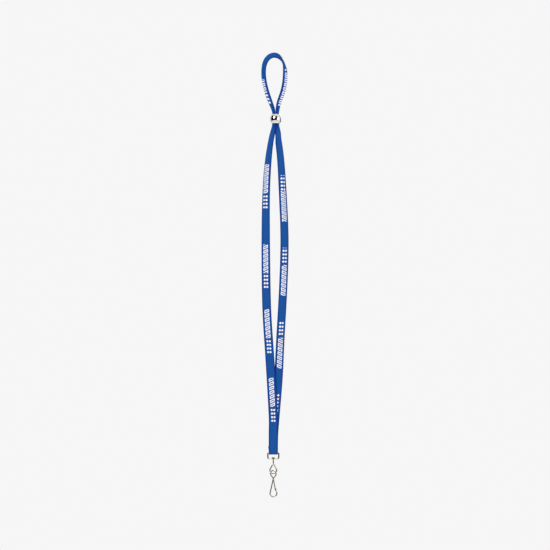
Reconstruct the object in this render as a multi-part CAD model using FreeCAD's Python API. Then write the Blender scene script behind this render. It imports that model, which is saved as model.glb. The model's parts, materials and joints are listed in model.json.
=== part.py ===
import FreeCAD, Part
import math
import os

# A neck lanyard, hanging from the crest of its small top loop.
# Millimetres, +Z up, +X to the right, -Y towards the front.
# The origin is the inside of the top loop's crest, where a peg would carry it.

Vector = FreeCAD.Vector
DEPTH = Vector(0, 1, 0)
SIDEWAYS = Vector(1, 0, 0)
UP = Vector(0, 0, 1)

# Strap: one length of woven webbing
STRAP_WIDTH = 10.0
STRAP_THICKNESS = 0.9
LAYER_GAP = 0.05          # between layers that are sewn on each other
STRAP_STEP = 8.0          # degrees of a bend between two sections of the strap
BEND_SHARE = 0.45         # share of the shorter run that a bend takes up
SEAM_START_Z = -413.0     # where the front strand becomes the sewn end
TAIL_TOP_Z = -419.3       # free end of the strap, behind
SIDE_PINCH = 0.4          # how much each edge draws in on the bracket
FOLD_FLARE = 0.12         # how much the fold opens beside the bar

# Bead: a barrel that slides on both strands
BEAD_X = 2.2
BEAD_Z = -66.3
BEAD_HEIGHT = 9.8
BEAD_BORE = 8.2
BEAD_RIM = 0.6            # round of the bore's edges
BEAD_LAND = 0.6           # flat ring round each mouth
BEAD_BELLY = 0.9          # how far the middle stands out past the mouths
BEAD_SLACK = 0.7          # what the bore leaves beside each strand

# Bracket: a wire frame with a flattened foot
HARDWARE_X = -0.3
BAR_Z = -426.9            # centre of the top bar
BRACKET_WIRE = 1.4
BRACKET_SIDE_GAP = 0.45   # strap edge to bracket arm
BRACKET_HEIGHT = 5.9      # centre of the top bar to centre of the foot
BRACKET_CORNER = 1.1
ARM_TAPER = 0.15          # how much nearer the foot's ends lie
FOOT_THICKNESS = 1.2
FOOT_DEPTH = 3.8
BAR_CLEARANCE = 0.10
STRAP_END_GAP = 0.6       # top of the bar to the end of the middle layer
FOLD_RUN = 2.9            # centre of the bar up to where the layers close up
FOLD_BEND = 0.9           # share of the fold's radius that its corners keep

# Swivel eye: one wire, upset to a head, with a drop-shaped eye
WIRE = 1.25
ARC_SHARE = 0.98          # share of a round stretch's radius that its corners keep
SWIVEL_CLEARANCE = 0.07
HEAD_DIAMETER = 3.5
HEAD_HEIGHT = 1.2
HEAD_SEAT_GAP = 0.03
STEM_LENGTH = 4.8         # foot of the bracket to the point of the eye
EYE_RADIUS = 3.6          # to the wire's centre
EYE_POINT = 7.3           # from the eye's centre up to its point
EYE_END_GAP = 0.1

# Snap hook: one wire, with an eye, a bow and a springy gate
HOOK_EYE_RADIUS = 3.4
HOOK_EYE_TURN = 30.0      # degrees from the swivel eye's plane
HOOK_EYE_DROP = 3.7       # below the swivel eye's centre
NECK_DROP = 5.2           # from the hook eye's centre down to the crossing
NECK_BEND = 5.0
NECK_GAP = 0.05
BOW_RADIUS = 3.65
BOW_DROP = 16.1           # from the crossing down to the bow's centre
GATE_OUT = 2.45           # how far the gate's end stands out to the right
GATE_RISE = 2.8           # from the bow's centre up to the gate's end
GATE_HINGE_DROP = 2.7     # from the crossing down to where the gate flexes
GATE_END_GAP = 0.3
CATCH_CLEARANCE = 0.08
CATCH_WALL = 0.35
CATCH_LENGTH = 4.0
CATCH_OVERLAP = 0.9

# Thread: two rows of stitches across the sewn end
STITCH_LENGTH = 1.3
STITCH_WIDTH = 0.45
STITCH_HEIGHT = 0.25
STITCH_COUNT = 5
STITCH_SPREAD = 7.2       # centre of the first stitch to centre of the last
STITCH_ROWS = 2
STITCH_ROW_GAP = 3.2
STITCH_EDGE = 1.1         # free end of the strap to the first row

BEAD_MOUTH_DIAMETER = BEAD_BORE + 2 * (BEAD_RIM + BEAD_LAND)
BEAD_DIAMETER = BEAD_MOUTH_DIAMETER + 2 * BEAD_BELLY
BUNDLE_WIDTH = BEAD_BORE / 2 - BEAD_SLACK
STRAND_ASIDE = BUNDLE_WIDTH / 2 + LAYER_GAP
LEFT_X = BEAD_X - STRAND_ASIDE
RIGHT_X = BEAD_X + STRAND_ASIDE

SECTION_AREA = STRAP_WIDTH * STRAP_THICKNESS
LAYER_PITCH = STRAP_THICKNESS + LAYER_GAP
SEAM_WIDTH = STRAP_WIDTH
FOLD_WIDTH = STRAP_WIDTH - 2 * SIDE_PINCH
FOLD_RADIUS = BRACKET_WIRE / 2 + BAR_CLEARANCE + STRAP_THICKNESS / 2
FOOT_Z = BAR_Z - BRACKET_HEIGHT
EYE_Z = FOOT_Z - FOOT_THICKNESS / 2 - STEM_LENGTH - EYE_POINT
HOOK_EYE_Z = EYE_Z - HOOK_EYE_DROP
NECK_Z = HOOK_EYE_Z - NECK_DROP
GATE_DROP = BOW_DROP - GATE_RISE

# The strap's route: (x, y, z, width of the strap as it is folded there, turn of its face)
NECK_LOOP_ROUTE = [
    (LEFT_X, 0.0, BEAD_Z, BUNDLE_WIDTH, 0),
    (LEFT_X, 0.0, -60.2, 3.5, 0),
    (-0.8, 0.1, -55.6, 4.1, 0),
    (-3.4, 0.3, -48.2, 4.6, 0),
    (-7.6, 0.6, -36.8, 5.2, 0),
    (-10.5, 0.6, -24.6, 5.0, 8),
    (-11.1, 0.3, -13.6, 4.6, 12),
    (-9.4, -0.3, -5.0, 5.2, 5),
    (-5.1, -0.7, 0.9, 5.6, 0),
    (0.9, -0.8, 2.9, 5.6, 0),
    (6.6, -0.4, 0.9, 5.3, 25),
    (11.0, 0.2, -5.1, 5.0, 70),
    (12.8, 0.5, -13.6, 4.9, 35),
    (12.3, 0.6, -26.4, 5.2, 5),
    (9.9, 0.4, -37.4, 5.2, 0),
    (5.6, 0.2, -48.6, 5.0, 0),
    (4.2, 0.1, -55.4, 4.3, 0),
    (RIGHT_X, 0.0, -60.2, 3.5, 0),
    (RIGHT_X, 0.0, BEAD_Z, BUNDLE_WIDTH, 0),
]
FRONT_LAYER_Y = -LAYER_PITCH
LEFT_ROUTE = [
    (LEFT_X, 0.0, BEAD_Z, BUNDLE_WIDTH, 0),
    (LEFT_X, 0.0, -73.2, 3.4, 0),
    (-0.8, -0.1, -80.1, 5.2, 0),
    (-2.9, -0.3, -89.5, 5.7, 0),
    (-5.9, -0.8, -110.4, 7.3, 0),
    (-8.1, -1.2, -142.8, 8.1, 0),
    (-8.6, -1.6, -186.0, 9.1, 0),
    (-8.2, -1.8, -240.0, 9.5, 0),
    (-7.3, -1.8, -277.8, 9.3, 0),
    (-4.6, -1.7, -315.6, 9.6, 0),
    (-1.9, -1.5, -358.8, 9.7, 0),
    (-0.1, -1.2, -391.2, 9.8, 0),
    (HARDWARE_X, FRONT_LAYER_Y, -402.1, SEAM_WIDTH, 0),
    (HARDWARE_X, FRONT_LAYER_Y, SEAM_START_Z, SEAM_WIDTH, 0),
]
RIGHT_END_Z = BAR_Z + BRACKET_WIRE / 2 + STRAP_END_GAP
RIGHT_ROUTE = [
    (RIGHT_X, 0.0, BEAD_Z, BUNDLE_WIDTH, 0),
    (RIGHT_X, 0.0, -73.2, 3.4, 0),
    (4.9, 0.1, -80.1, 5.4, 0),
    (5.5, 0.2, -89.5, 7.0, 0),
    (7.9, 0.6, -110.4, 7.7, 0),
    (9.7, 1.0, -142.8, 8.5, 0),
    (11.9, 1.5, -186.0, 8.6, 0),
    (11.7, 1.7, -218.4, 9.0, 0),
    (9.8, 1.6, -261.6, 8.8, 0),
    (7.2, 1.3, -304.8, 9.0, 0),
    (5.6, 0.9, -342.6, 9.2, 0),
    (3.2, 0.6, -370.8, 9.4, 0),
    (0.8, 0.2, -396.6, 9.7, 0),
    (HARDWARE_X, 0.0, -410.2, SEAM_WIDTH, 0),
    (HARDWARE_X, 0.0, RIGHT_END_Z, SEAM_WIDTH, 0),
]


def fitted_radii(points):
    """The largest bend at each inner point that its two runs allow."""
    radii = []
    for before, here, after in zip(points, points[1:], points[2:]):
        run_in = here - before
        run_out = after - here
        half_turn = run_in.getAngle(run_out) / 2
        shorter = min(run_in.Length, run_out.Length)
        radii.append(BEND_SHARE * shorter / math.tan(half_turn))
    return radii


def rounded_path(points, radii):
    """Straight runs joined by tangent arcs, one arc at each inner point."""
    edges = []
    start = points[0]
    for before, here, after, radius in zip(points, points[1:], points[2:], radii):
        back = (before - here).normalize()
        ahead = (after - here).normalize()
        half_turn = (math.pi - back.getAngle(ahead)) / 2
        reach = radius * math.tan(half_turn)
        arc_start = here + back * reach
        arc_end = here + ahead * reach
        inward = (back + ahead).normalize()
        arc_middle = here + inward * (radius / math.cos(half_turn) - radius)
        if start.distanceToPoint(arc_start) > 1e-4:
            edges.append(Part.LineSegment(start, arc_start).toShape())
        else:
            arc_start = start
        edges.append(Part.Arc(arc_start, arc_middle, arc_end).toShape())
        start = arc_end
    edges.append(Part.LineSegment(start, points[-1]).toShape())
    return edges


def strap_stations(edges):
    """(distance along, place, direction) at each section of the strap."""
    stations = []
    travelled = 0.0
    for edge in edges:
        first = edge.FirstParameter
        last = edge.LastParameter
        turn = edge.tangentAt(first).getAngle(edge.tangentAt(last))
        steps = max(1, math.ceil(math.degrees(turn) / STRAP_STEP))
        begin = 0 if not stations else 1
        for step in range(begin, steps + 1):
            at = first + (last - first) * step / steps
            place = edge.valueAt(at)
            stations.append((travelled + edge.Length * step / steps, place, edge.tangentAt(at)))
        travelled += edge.Length
    return stations


def between(knots, values, at):
    """The value at a place between two knots, in proportion."""
    for left, right, low, high in zip(knots, knots[1:], values, values[1:]):
        if at <= right:
            share = (at - left) / (right - left)
            return low + (high - low) * max(0.0, share)
    return values[-1]


def section(place, side, face, width):
    """A four-sided section of the strap, as wide as it is folded there."""
    thickness = SECTION_AREA / width
    half_side = side * (width / 2)
    half_face = face * (thickness / 2)
    corners = [
        place + half_side + half_face,
        place - half_side + half_face,
        place - half_side - half_face,
        place + half_side - half_face,
    ]
    return Part.makePolygon(corners + corners[:1])


def strap(name, route, across=None):
    """A length of strap along its route."""
    points = [Vector(x, y, z) for x, y, z, width, turn in route]
    widths = [width for x, y, z, width, turn in route]
    turns = [turn for x, y, z, width, turn in route]
    radii = fitted_radii(points) if across is None else [FOLD_RADIUS * FOLD_BEND] * (len(points) - 2)
    edges = rounded_path(points, radii)
    length = sum(edge.Length for edge in edges)
    knots = [0.0]
    for before, here in zip(points, points[1:]):
        knots.append(knots[-1] + before.distanceToPoint(here))
    stretch = knots[-1] / length
    sections = []
    for travelled, place, direction in strap_stations(edges):
        at = travelled * stretch
        level = across or direction.cross(DEPTH).normalize()
        roll = FreeCAD.Rotation(direction, between(knots, turns, at))
        side = roll.multVec(level)
        face = direction.cross(side).normalize()
        sections.append(section(place, side, face, between(knots, widths, at)))
    solid = Part.makeLoft(sections, True, True)
    print(f"{name}: length {length:.1f}, radii {[round(radius, 1) for radius in radii]}")
    print(f"{name}: volume {solid.Volume:.0f} against {SECTION_AREA * length:.0f}")
    return solid


def neck_loop():
    return strap("neck_loop", NECK_LOOP_ROUTE)


def left_strand():
    return strap("left_strand", LEFT_ROUTE)


def right_strand():
    return strap("right_strand", RIGHT_ROUTE)


def hook_fold():
    """The strap's end, round the bracket's bar and up behind."""
    bottom = BAR_Z - FOLD_RADIUS
    straight_z = BAR_Z + FOLD_RUN
    route = [
        (HARDWARE_X, -LAYER_PITCH, SEAM_START_Z, SEAM_WIDTH, 0),
        (HARDWARE_X, -LAYER_PITCH, straight_z, SEAM_WIDTH, 0),
        (HARDWARE_X, -FOLD_RADIUS - FOLD_FLARE, bottom, FOLD_WIDTH, 0),
        (HARDWARE_X, FOLD_RADIUS + FOLD_FLARE, bottom, FOLD_WIDTH, 0),
        (HARDWARE_X, LAYER_PITCH, straight_z, SEAM_WIDTH, 0),
        (HARDWARE_X, LAYER_PITCH, TAIL_TOP_Z, SEAM_WIDTH, 0),
    ]
    return strap("hook_fold", route, across=SIDEWAYS)


def stitch(x, face_y, outward, z):
    """One stitch of thread lying on a face of the strap."""
    low_y = face_y if outward > 0 else face_y - STITCH_HEIGHT
    corner = Vector(x - STITCH_LENGTH / 2, low_y, z - STITCH_WIDTH / 2)
    return Part.makeBox(STITCH_LENGTH, STITCH_HEIGHT, STITCH_WIDTH, corner)


def seam_stitches():
    """Rows of stitches that hold the three layers, seen in front and behind."""
    face = LAYER_PITCH + STRAP_THICKNESS / 2
    stitches = []
    for row in range(STITCH_ROWS):
        z = TAIL_TOP_Z - STITCH_EDGE - row * STITCH_ROW_GAP
        for index in range(STITCH_COUNT):
            x = HARDWARE_X + STITCH_SPREAD * (index / (STITCH_COUNT - 1) - 0.5)
            for outward in (-1, 1):
                stitches.append(stitch(x, outward * face, outward, z))
    return Part.makeCompound(stitches)


def bead():
    """A turned barrel, its bore rounded into each mouth."""
    half = BEAD_HEIGHT / 2
    bore = BEAD_BORE / 2
    mouth = BEAD_MOUTH_DIAMETER / 2
    belly = BEAD_DIAMETER / 2
    rim = BEAD_RIM
    corner_inside = rim * (1 - math.sqrt(0.5))
    profile = [
        Part.LineSegment(Vector(bore, 0, rim - half), Vector(bore, 0, half - rim)),
        Part.Arc(
            Vector(bore, 0, half - rim),
            Vector(bore + corner_inside, 0, half - corner_inside),
            Vector(bore + rim, 0, half),
        ),
        Part.LineSegment(Vector(bore + rim, 0, half), Vector(mouth, 0, half)),
        Part.Arc(Vector(mouth, 0, half), Vector(belly, 0, 0), Vector(mouth, 0, -half)),
        Part.LineSegment(Vector(mouth, 0, -half), Vector(bore + rim, 0, -half)),
        Part.Arc(
            Vector(bore + rim, 0, -half),
            Vector(bore + corner_inside, 0, corner_inside - half),
            Vector(bore, 0, rim - half),
        ),
    ]
    face = Part.Face(Part.Wire([curve.toShape() for curve in profile]))
    solid = face.revolve(Vector(0, 0, 0), UP, 360)
    solid.translate(Vector(BEAD_X, 0, BEAD_Z))
    return solid


def wire_along(points, radii, diameter):
    """A round wire along straight runs and tangent arcs."""
    edges = rounded_path(points, radii)
    start = points[0]
    direction = edges[0].tangentAt(edges[0].FirstParameter)
    outline = Part.Wire([Part.makeCircle(diameter / 2, start, direction)])
    return Part.Wire(edges).makePipeShell([outline], True, False)


def bracket():
    """A bent wire frame, with a flattened foot that is drilled for the swivel."""
    arm = FOLD_WIDTH / 2 + BRACKET_SIDE_GAP + SIDE_PINCH / 2 + BRACKET_WIRE / 2
    foot_arm = arm - ARM_TAPER
    low_z = FOOT_Z
    points = [
        Vector(HARDWARE_X - foot_arm, 0, low_z),
        Vector(HARDWARE_X - arm, 0, BAR_Z),
        Vector(HARDWARE_X + arm, 0, BAR_Z),
        Vector(HARDWARE_X + foot_arm, 0, low_z),
    ]
    frame = wire_along(points, [BRACKET_CORNER] * 2, BRACKET_WIRE)
    half_foot = foot_arm + BRACKET_WIRE / 2
    corner = Vector(HARDWARE_X - half_foot, -FOOT_DEPTH / 2, low_z - FOOT_THICKNESS / 2)
    foot = Part.makeBox(2 * half_foot, FOOT_DEPTH, FOOT_THICKNESS, corner)
    upright = [edge for edge in foot.Edges if abs(edge.tangentAt(edge.FirstParameter).z) > 0.9]
    foot = foot.makeFillet(min(FOOT_DEPTH * 0.45, BRACKET_WIRE), upright)
    hole_start = Vector(HARDWARE_X, 0, low_z - FOOT_THICKNESS)
    hole = Part.makeCylinder(WIRE / 2 + SWIVEL_CLEARANCE, 2 * FOOT_THICKNESS, hole_start)
    return frame.fuse(foot).cut(hole).removeSplitter()


def swivel_eye():
    """A headed wire through the bracket's foot, bent into a drop-shaped eye."""
    head_z = FOOT_Z + FOOT_THICKNESS / 2 + HEAD_SEAT_GAP
    point_z = EYE_Z + EYE_POINT
    lean = math.asin(EYE_RADIUS / EYE_POINT)
    centre = Vector(HARDWARE_X, 0, EYE_Z)
    corners = arc_corners(centre, SIDEWAYS, EYE_RADIUS, math.degrees(lean), -180 - math.degrees(lean), 4)
    butt = (WIRE + EYE_END_GAP) / math.sin(2 * lean)
    left_end = Vector(HARDWARE_X - butt * math.sin(lean), 0, point_z - butt * math.cos(lean))
    top = Vector(HARDWARE_X, 0, head_z + HEAD_HEIGHT / 2)
    points = [top, Vector(HARDWARE_X, 0, point_z)] + corners + [left_end]
    radii = [WIRE] + [ARC_SHARE * EYE_RADIUS] * len(corners)
    wire = wire_along(points, radii, WIRE)
    dome_radius = (HEAD_DIAMETER**2 / 4 + HEAD_HEIGHT**2) / (2 * HEAD_HEIGHT)
    dome = Part.makeSphere(dome_radius, Vector(HARDWARE_X, 0, head_z + HEAD_HEIGHT - dome_radius))
    disc = Part.makeCylinder(HEAD_DIAMETER / 2, HEAD_HEIGHT, Vector(HARDWARE_X, 0, head_z))
    return wire.fuse(dome.common(disc)).removeSplitter()


def arc_corners(centre, outward, radius, start, end, count):
    """Corners of the runs that touch an arc, in the plane of outward and up."""
    half_step = math.radians(end - start) / (2 * count)
    reach = radius / math.cos(half_step)
    corners = []
    for index in range(count):
        angle = math.radians(start) + half_step * (2 * index + 1)
        corners.append(centre + outward * (reach * math.cos(angle)) + UP * (reach * math.sin(angle)))
    return corners


def crossing(towards):
    """Where a wire of the hook passes its neck, in front (-1) or behind (+1)."""
    return Vector(HARDWARE_X, towards * (WIRE + NECK_GAP) / 2, NECK_Z)


def gate_end():
    return Vector(HARDWARE_X + GATE_OUT, 0, NECK_Z - GATE_DROP)


def gate_line():
    """The direction that the gate runs down, from the neck to its end."""
    return (gate_end() - crossing(1)).normalize()


def snap_hook():
    """One wire: catch, bow, spine, neck, eye, and the root of the gate."""
    down = gate_line()
    aside = down.cross(DEPTH).normalize()
    if aside.x < 0:
        aside = -aside
    catch_inside = WIRE / 2 + CATCH_CLEARANCE
    catch_outside = catch_inside + CATCH_WALL
    catch_middle = (catch_inside + catch_outside) / 2
    tip = gate_end() + aside * catch_middle + down * GATE_END_GAP
    lean = math.degrees(math.atan2(down.x, -down.z))
    bow_z = NECK_Z - BOW_DROP
    lean_angle = math.radians(lean)
    bow_x = tip.x + (tip.z - bow_z) * math.tan(lean_angle) - BOW_RADIUS / math.cos(lean_angle)
    bow = Vector(bow_x, 0, bow_z)
    front = crossing(-1)
    to_front = front - bow
    spine_lean = math.degrees(math.asin(BOW_RADIUS / to_front.Length) + math.atan2(to_front.x, to_front.z))
    bow_corners = arc_corners(bow, SIDEWAYS, BOW_RADIUS, lean, -180 - spine_lean, 3)
    turn = math.radians(HOOK_EYE_TURN)
    outward = Vector(math.cos(turn), -math.sin(turn), 0)
    eye = Vector(HARDWARE_X, 0, HOOK_EYE_Z)
    eye_start = -math.degrees(math.asin(HOOK_EYE_RADIUS / NECK_DROP))
    eye_corners = arc_corners(eye, outward, HOOK_EYE_RADIUS, eye_start, 180 - eye_start, 4)
    root_end = crossing(1) + down * (GATE_HINGE_DROP - WIRE / 2 - NECK_GAP)
    points = [tip] + bow_corners + [front] + eye_corners + [crossing(1), root_end]
    radii = [ARC_SHARE * BOW_RADIUS] * len(bow_corners) + [NECK_BEND]
    radii += [ARC_SHARE * HOOK_EYE_RADIUS] * len(eye_corners) + [NECK_BEND]
    wire = wire_along(points, radii, WIRE)
    base = tip + down * CATCH_OVERLAP - aside * catch_middle
    shell = Part.makeCylinder(catch_outside, CATCH_LENGTH, base, -down)
    bore = Part.makeCylinder(catch_inside, CATCH_LENGTH, base, -down)
    keep = Part.makeBox(2 * catch_outside, 4 * catch_outside, 2 * CATCH_LENGTH)
    keep.translate(Vector(0, -2 * catch_outside, -CATCH_LENGTH / 2))
    stand = FreeCAD.Placement(base, FreeCAD.Rotation(aside, DEPTH, -down, "XZY"))
    keep.Placement = stand.multiply(keep.Placement)
    catch = shell.cut(bore).common(keep)
    return wire.fuse(catch).removeSplitter()


def gate():
    """The springy end of the hook's wire, with a round root that it flexes about."""
    down = gate_line()
    hinge = crossing(1) + down * GATE_HINGE_DROP
    end = gate_end() - down * (WIRE / 2)
    rod = Part.makeCylinder(WIRE / 2, (end - hinge).Length, hinge, down)
    root = Part.makeSphere(WIRE / 2, hinge)
    tip = Part.makeSphere(WIRE / 2, end)
    print(f"gate: flexes about {hinge}, the hook swings about height {EYE_Z:.1f}")
    return rod.fuse([root, tip]).removeSplitter()


PIECES = {
    "neck_loop": neck_loop,
    "left_strand": left_strand,
    "right_strand": right_strand,
    "hook_fold": hook_fold,
    "seam_stitches": seam_stitches,
    "bead": bead,
    "bracket": bracket,
    "swivel_eye": swivel_eye,
    "snap_hook": snap_hook,
    "gate": gate,
}

os.makedirs("parts", exist_ok=True)
for name, make in PIECES.items():
    shape = make()
    print(f"{name}: {len(shape.Solids)} solid(s), valid {shape.isValid()}, volume {shape.Volume:.1f}")
    shape.exportStep(os.path.join("parts", name + ".step"))
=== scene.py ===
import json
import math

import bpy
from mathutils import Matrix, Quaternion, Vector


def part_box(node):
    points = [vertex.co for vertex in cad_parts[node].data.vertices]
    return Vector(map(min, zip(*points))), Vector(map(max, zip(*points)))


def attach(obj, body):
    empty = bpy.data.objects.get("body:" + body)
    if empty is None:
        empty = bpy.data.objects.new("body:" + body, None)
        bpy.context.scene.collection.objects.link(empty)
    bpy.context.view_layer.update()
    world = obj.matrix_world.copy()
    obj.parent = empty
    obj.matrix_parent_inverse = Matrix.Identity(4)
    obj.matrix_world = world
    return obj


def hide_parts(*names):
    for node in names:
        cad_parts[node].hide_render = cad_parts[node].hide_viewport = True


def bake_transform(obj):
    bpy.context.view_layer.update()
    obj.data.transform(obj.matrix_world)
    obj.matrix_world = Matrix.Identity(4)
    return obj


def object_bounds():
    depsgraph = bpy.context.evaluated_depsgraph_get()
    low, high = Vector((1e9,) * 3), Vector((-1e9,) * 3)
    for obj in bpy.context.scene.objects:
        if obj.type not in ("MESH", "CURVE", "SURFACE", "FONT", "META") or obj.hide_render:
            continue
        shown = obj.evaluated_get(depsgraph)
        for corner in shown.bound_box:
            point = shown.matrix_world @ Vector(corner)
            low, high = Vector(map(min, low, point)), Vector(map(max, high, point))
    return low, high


bl_info = {
    "name": "Neck Lanyard",
    "version": (1, 0, 0),
    "blender": (4, 5, 0),
    "location": "3D View > Sidebar > Lanyard",
    "description": "Builds a printed polyester lanyard with a sliding bead and a swivel snap hook",
    "category": "Object",
}

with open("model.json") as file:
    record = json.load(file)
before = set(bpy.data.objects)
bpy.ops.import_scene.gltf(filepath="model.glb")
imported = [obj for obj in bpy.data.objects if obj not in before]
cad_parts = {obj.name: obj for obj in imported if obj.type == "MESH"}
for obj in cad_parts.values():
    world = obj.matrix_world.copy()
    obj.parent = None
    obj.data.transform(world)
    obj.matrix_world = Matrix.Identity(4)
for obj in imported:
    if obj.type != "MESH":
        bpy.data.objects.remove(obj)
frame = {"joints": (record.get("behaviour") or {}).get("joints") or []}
CAD_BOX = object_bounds()
JOINTS = {joint["name"]: joint for joint in frame["joints"]}

# Metres, +Z up, +X to the right, -Y towards the front.
DEPTH = Vector((0, 1, 0))
SIDEWAYS = Vector((1, 0, 0))
UP = Vector((0, 0, 1))
MM = 0.001

# The bead's barrel, from the frame
BEAD_LOW, BEAD_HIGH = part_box("bead")
BEAD_CENTRE = (BEAD_LOW + BEAD_HIGH) / 2

# How the strap lies, at each point of its route:
# (x, y, z, visible width, turn of its face, how far it is folded lengthwise), in metres and degrees.
# It is doubled lengthwise through the bead and round the top loop, with the fold outside.
BEAD_Z = BEAD_CENTRE.z
LOOP_ROUTE = [
    (0.00045, 0.0, BEAD_Z, 0.0034, 0, 180),
    (0.00045, 0.0, -0.0602, 0.0035, 0, 180),
    (-0.0003, 0.0001, -0.0562, 0.0041, 0, 178),
    (-0.0034, 0.0003, -0.0482, 0.0048, 0, 172),
    (-0.0076, 0.0006, -0.0368, 0.0053, 0, 168),
    (-0.0105, 0.0006, -0.0246, 0.0052, 8, 170),
    (-0.0111, 0.0003, -0.0136, 0.0050, 12, 172),
    (-0.0094, -0.0003, -0.0050, 0.0053, 5, 174),
    (-0.0051, -0.0007, 0.0009, 0.0056, 0, 176),
    (0.0009, -0.0008, 0.0029, 0.0056, 0, 176),
    (0.0066, -0.0004, 0.0009, 0.0054, 48, 174),
    (0.0110, 0.0002, -0.0051, 0.0052, 92, 172),
    (0.0128, 0.0005, -0.0136, 0.0052, 34, 170),
    (0.0123, 0.0006, -0.0264, 0.0053, 5, 168),
    (0.0099, 0.0004, -0.0374, 0.0053, 0, 168),
    (0.0056, 0.0002, -0.0486, 0.0050, 0, 172),
    (0.0042, 0.0001, -0.0562, 0.0043, 0, 178),
    (0.00395, 0.0, -0.0602, 0.0035, 0, 180),
    (0.00395, 0.0, BEAD_Z, 0.0034, 0, 180),
]
LEFT_ROUTE = [
    (0.00045, 0.0, BEAD_Z, 0.0034, 0, 180),
    (0.00045, -0.0001, -0.0732, 0.0037, 0, 178),
    (-0.0006, -0.0006, -0.0801, 0.0058, 0, 150),
    (-0.0029, -0.0006, -0.0895, 0.0058, 0, 118),
    (-0.0059, -0.0008, -0.1104, 0.0073, 0, 92),
    (-0.0081, -0.0012, -0.1428, 0.0081, 0, 74),
    (-0.0086, -0.0016, -0.1860, 0.0091, 0, 52),
    (-0.0082, -0.0018, -0.2400, 0.0095, 0, 40),
    (-0.0073, -0.0018, -0.2778, 0.0095, 0, 38),
    (-0.0046, -0.0017, -0.3156, 0.0096, 0, 34),
    (-0.0019, -0.0015, -0.3588, 0.0097, 0, 26),
    (-0.0001, -0.0012, -0.3912, 0.0098, 0, 14),
    (-0.0003, -0.00095, -0.4021, 0.0100, 0, 4),
    (-0.0003, -0.00095, -0.4130, 0.0100, 0, 0),
    (-0.0003, -0.00095, -0.4240, 0.0099, 0, 0),
    (-0.0003, -0.00158, -0.42815, 0.0093, 0, 0),
    (-0.0003, 0.00158, -0.42815, 0.0093, 0, 0),
    (-0.0004, 0.00095, -0.4240, 0.0099, 0, 0),
    (-0.0009, 0.00095, -0.4193, 0.0100, 0, 0),
]
RIGHT_ROUTE = [
    (0.00395, 0.0, BEAD_Z, 0.0034, 0, 180),
    (0.00395, 0.0001, -0.0732, 0.0037, 0, 178),
    (0.0048, 0.0006, -0.0801, 0.0060, 0, 150),
    (0.0052, 0.0006, -0.0895, 0.0073, 0, 104),
    (0.0079, 0.0006, -0.1104, 0.0077, 0, 86),
    (0.0097, 0.0010, -0.1428, 0.0085, 0, 66),
    (0.0119, 0.0015, -0.1860, 0.0088, 0, 56),
    (0.0117, 0.0017, -0.2184, 0.0090, 0, 50),
    (0.0098, 0.0016, -0.2616, 0.0090, 0, 48),
    (0.0072, 0.0013, -0.3048, 0.0090, 0, 46),
    (0.0056, 0.0009, -0.3426, 0.0092, 0, 38),
    (0.0032, 0.0006, -0.3708, 0.0094, 0, 28),
    (0.0008, 0.0002, -0.3966, 0.0097, 0, 14),
    (-0.0003, 0.0, -0.4102, 0.0100, 0, 0),
    (-0.0003, 0.0, -0.4256, 0.0100, 0, 0),
]
LINE_STEPS = 24           # points that a line gets for each point of its route

# Where each block of print lies: (height of its middle, half its length)
LEFT_BARS = [(-0.1313, 0.0155), (-0.2173, 0.0155), (-0.2872, 0.0155), (-0.3612, 0.0155)]
LEFT_DOTS = [(-0.1558, 0.0077), (-0.2417, 0.0077), (-0.3118, 0.0077), (-0.3857, 0.0077)]
RIGHT_BARS = [(-0.1606, 0.0165), (-0.2405, 0.0165), (-0.3190, 0.0165), (-0.3960, 0.0165)]
RIGHT_DOTS = [(-0.1354, 0.0082), (-0.2135, 0.0082), (-0.2926, 0.0082), (-0.3700, 0.0082)]
LOOP_LEFT_BARS = [(-0.0308, 0.0072)]
LOOP_LEFT_DOTS = [(-0.0445, 0.0062)]
LOOP_RIGHT_BARS = [(-0.0352, 0.0172)]
LOOP_RIGHT_DOTS = [(-0.0147, 0.0030)]
NO_PRINT = 9.0            # reads as far outside any block

# The strap's cross-section
ACROSS_STEPS = 36         # points across each face
FOLD_ZONE = 0.0017        # how much of the width a full fold takes up
FOLD_SPREAD = 0.7         # how quickly a fold gathers to its middle
PLEAT = 0.0034            # from one pleat to the next, where the strap is gathered in the bead
MOST_PLEAT = 1.5          # radians
FLAT_SLACK = 0.2          # how much too wide a flat section may be before it is folded
FIT_STEPS = 14            # halvings, to fit a section to the width that shows
SELVAGE_THINNING = 0.3
EDGE_STEPS = 3

BACKGROUND = "#F6F6F6"


def linear(hex_colour):
    """An sRGB hex colour as linear values."""
    values = []
    for start in (1, 3, 5):
        value = int(hex_colour[start : start + 2], 16) / 255
        values.append(value / 12.92 if value <= 0.04045 else ((value + 0.055) / 1.055) ** 2.4)
    return (*values, 1.0)


class LanyardSizes(bpy.types.PropertyGroup):
    strap_width: bpy.props.FloatProperty(
        name="Strap width",
        description="Width of the webbing when it lies flat",
        default=0.0100,
        min=0.005,
        unit="LENGTH",
    )
    strap_thickness: bpy.props.FloatProperty(
        name="Strap thickness",
        description="Thickness of one layer of the webbing",
        default=0.00085,
        min=0.0003,
        unit="LENGTH",
    )
    print_width: bpy.props.FloatProperty(
        name="Print width",
        description="Width of the printed marks down the middle of the strap",
        default=0.0052,
        min=0.001,
        unit="LENGTH",
    )
    rib_spacing: bpy.props.FloatProperty(
        name="Rib spacing",
        description="Distance between the ribs of the weave",
        default=0.0007,
        min=0.0002,
        unit="LENGTH",
    )


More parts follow.
